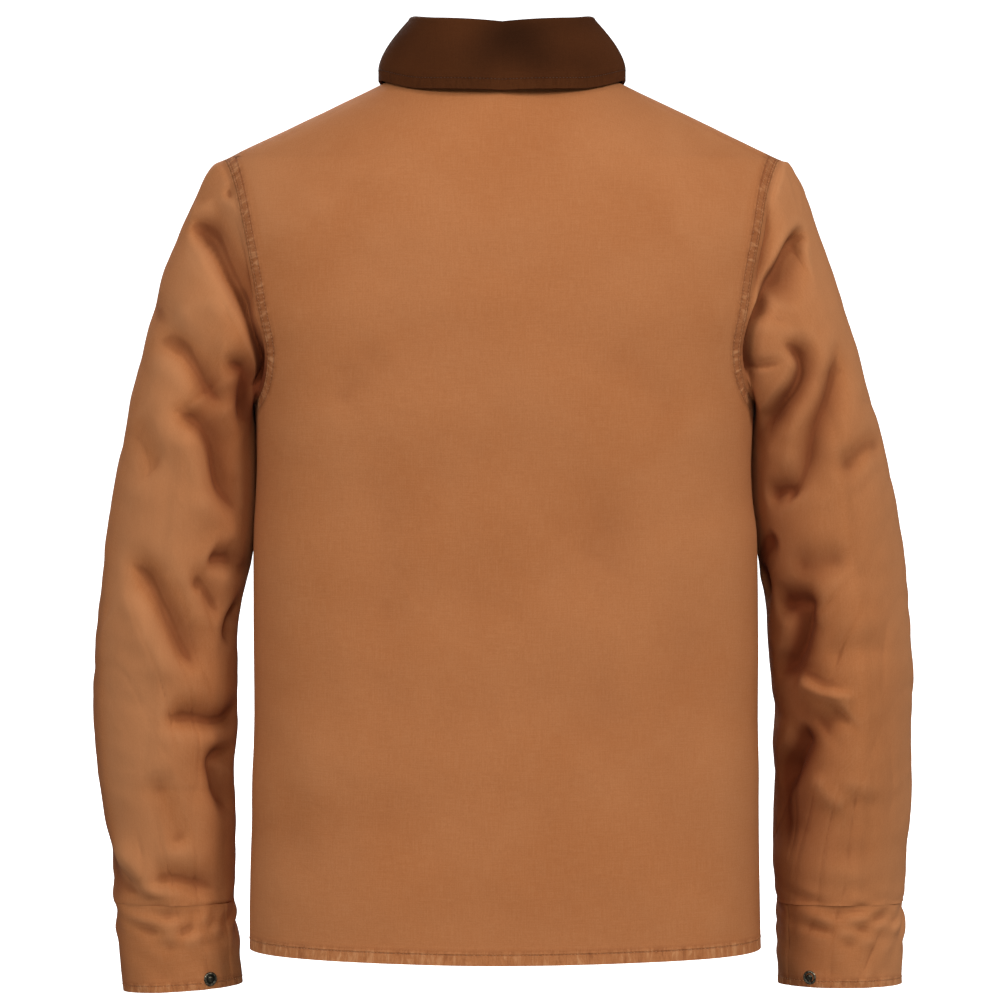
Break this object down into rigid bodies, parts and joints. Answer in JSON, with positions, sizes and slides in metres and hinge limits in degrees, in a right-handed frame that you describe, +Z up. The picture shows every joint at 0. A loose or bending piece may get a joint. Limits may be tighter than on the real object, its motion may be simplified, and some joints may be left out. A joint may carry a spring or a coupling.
{
  "type": "welding jacket",
  "caption": "Duck-canvas welding jacket filled out as worn: fold-down collar, one-piece back, set-in sleeves with snapped band cuffs, lapped snap front, plain turned hem.",
  "frame": {"origin": "centre of the neck opening, level with the base of the neck, where the wearer's neck and shoulders hold the jacket up", "axes": "+Z up the wearer's spine, +Y out of the jacket's back, -Y out of its front, +X towards the wearer's left"},
  "size_m": [0.6597, 0.2356, 0.781],
  "materials": {
    "canvas": "matte",
    "collar": "matte",
    "snap": "dark oxidised"
  },
  "bodies": {
    "root": {"back": "canvas", "front_left": "canvas", "front_right": "canvas", "sleeve_left": "canvas", "sleeve_right": "canvas", "cuff_left": "canvas", "cuff_right": "canvas", "collar_stand": "collar", "collar_fall": "collar", "snap_cuff_left": "snap", "snap_cuff_right": "snap", "snap_front_1": "snap", "snap_front_2": "snap", "snap_front_3": "snap", "snap_front_4": "snap", "snap_front_5": "snap", "snap_front_6": "snap"}
  },
  "joints": []
}
